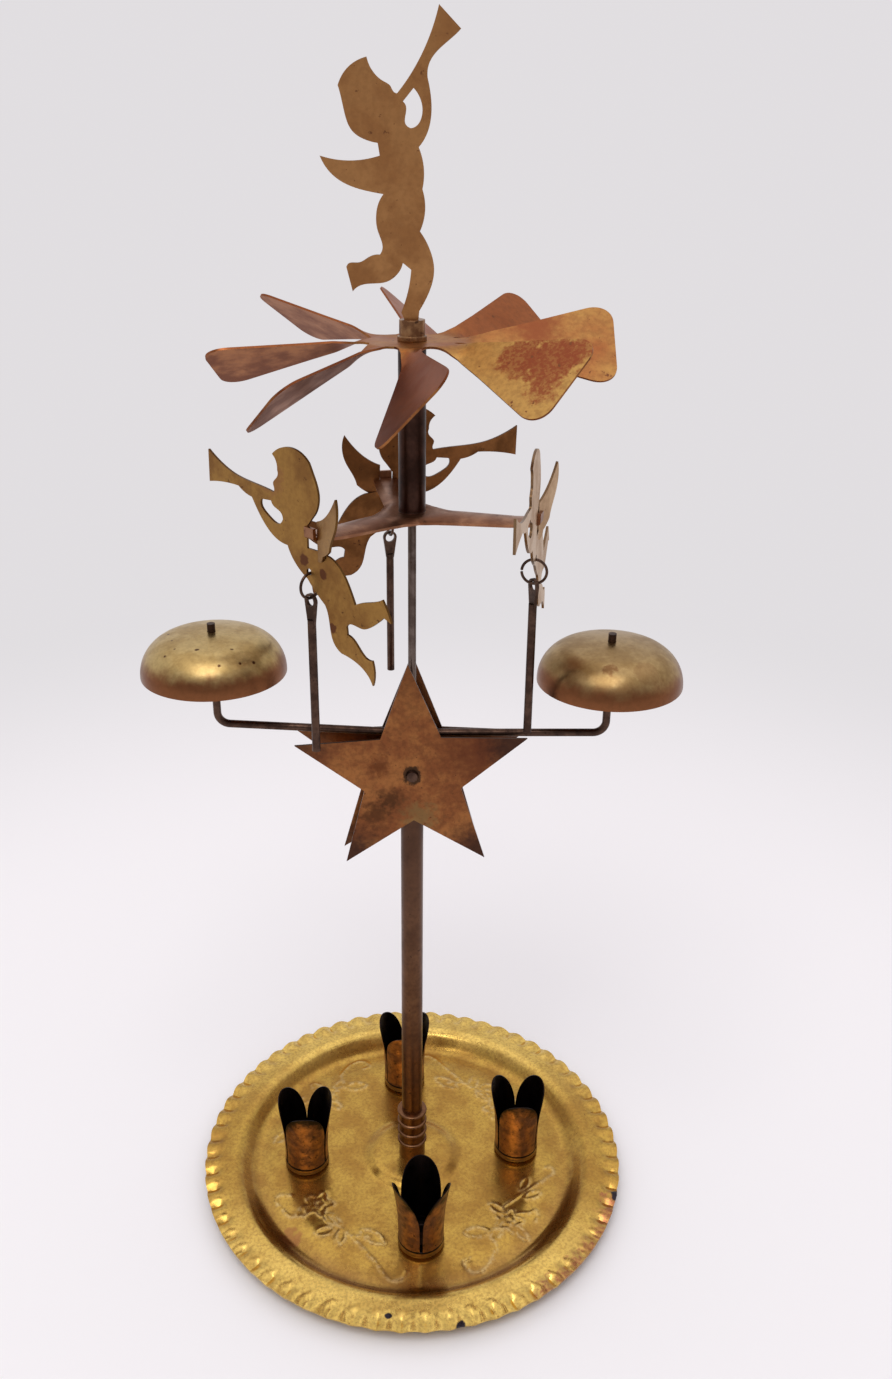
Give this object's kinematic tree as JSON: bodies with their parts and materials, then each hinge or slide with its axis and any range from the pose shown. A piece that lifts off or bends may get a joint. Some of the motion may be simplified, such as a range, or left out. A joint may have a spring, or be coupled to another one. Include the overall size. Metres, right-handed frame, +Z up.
{
  "type": "angel chime carousel",
  "caption": "Table candle carousel in tarnished brass: candle cups on a round tray drive a hot-air fan that turns trumpet figures whose hanging rods strike bells.",
  "frame": {"origin": "centre of the tray's foot ring on the table, on the pole's axis", "axes": "+Z up along the pole; +X to the viewer's right along the crossbar; the viewer stands on the -Y side"},
  "size_m": [0.1356, 0.125, 0.309],
  "materials": {
    "tray_brass": "polished, embossed, spotted with tarnish",
    "cup_brass": "heat-tarnished, sooted inside",
    "pole_brass": "dark brown tarnish with bright edges",
    "star_brass": "patchy copper-brown tarnish",
    "wire_brass": "dark brown tarnish",
    "bell_brass": "satin with small dark pits",
    "sheet_brass": "copper-orange to mauve tarnish",
    "angel_brass": "golden brown with a few brown spots",
    "rivet_brass": "dull",
    "steel": "bare steel"
  },
  "bodies": {
    "base": {"tray": "tray_brass", "candle_cup_right": "cup_brass", "candle_cup_back": "cup_brass", "candle_cup_left": "cup_brass", "candle_cup_front": "cup_brass", "cup_rivets": "rivet_brass", "pole_ferrule": "pole_brass", "ferrule_screw": "steel", "pole_tube": "pole_brass", "star_front": "star_brass", "star_back": "star_brass", "star_rivet": "rivet_brass", "crossbar": "wire_brass", "needle": "steel", "needle_plug": "pole_brass"},
    "carousel": {"carousel_tube": "pole_brass", "spider": "sheet_brass", "fan": "sheet_brass", "top_collar": "pole_brass", "pivot_cup": "steel", "top_angel": "angel_brass", "angel_right": "angel_brass", "angel_back": "angel_brass", "angel_left": "angel_brass"},
    "bell_left_body": {"bell_left": "bell_brass"},
    "bell_right_body": {"bell_right": "bell_brass"},
    "ring_right_body": {"ring_right": "wire_brass"},
    "striker_right_body": {"striker_right": "wire_brass"},
    "ring_back_body": {"ring_back": "wire_brass"},
    "striker_back_body": {"striker_back": "wire_brass"},
    "ring_left_body": {"ring_left": "wire_brass"},
    "striker_left_body": {"striker_left": "wire_brass"}
  },
  "joints": [
    {"name": "carousel_spin", "type": "hinge", "parent": "base", "child": "carousel", "pos_m": [0, 0, 0.2047], "axis": [0, 0, 1], "continuous": true},
    {"name": "bell_left_spin", "type": "hinge", "parent": "base", "child": "bell_left_body", "pos_m": [-0.0496, 0, 0.1731], "axis": [0, 0, 1], "continuous": true},
    {"name": "bell_right_spin", "type": "hinge", "parent": "base", "child": "bell_right_body", "pos_m": [0.0496, 0, 0.1704], "axis": [0, 0, 1], "continuous": true},
    {"name": "ring_right_swing", "type": "hinge", "parent": "carousel", "child": "ring_right_body", "pos_m": [0.02851, -0.00942, 0.19566], "axis": [-0.225, -0.9744, 0], "range_deg": [-12, 6]},
    {"name": "striker_right_swing", "type": "hinge", "parent": "ring_right_body", "child": "striker_right_body", "pos_m": [0.02851, -0.00942, 0.18976], "axis": [-0.9744, 0.225, 0], "range_deg": [-12, 12]},
    {"name": "ring_back_swing", "type": "hinge", "parent": "carousel", "child": "ring_back_body", "pos_m": [-0.00588, 0.02946, 0.19568], "axis": [0.9563, 0.2924, 0], "range_deg": [-12, 6]},
    {"name": "striker_back_swing", "type": "hinge", "parent": "ring_back_body", "child": "striker_back_body", "pos_m": [-0.00588, 0.02946, 0.18978], "axis": [0.2924, -0.9563, 0], "range_deg": [-12, 12]},
    {"name": "ring_left_swing", "type": "hinge", "parent": "carousel", "child": "ring_left_body", "pos_m": [-0.02294, -0.01948, 0.19575], "axis": [-0.7314, 0.682, 0], "range_deg": [-12, 6]},
    {"name": "striker_left_swing", "type": "hinge", "parent": "ring_left_body", "child": "striker_left_body", "pos_m": [-0.02294, -0.01948, 0.18985], "axis": [0.682, 0.7314, 0], "range_deg": [-12, 12]}
  ]
}
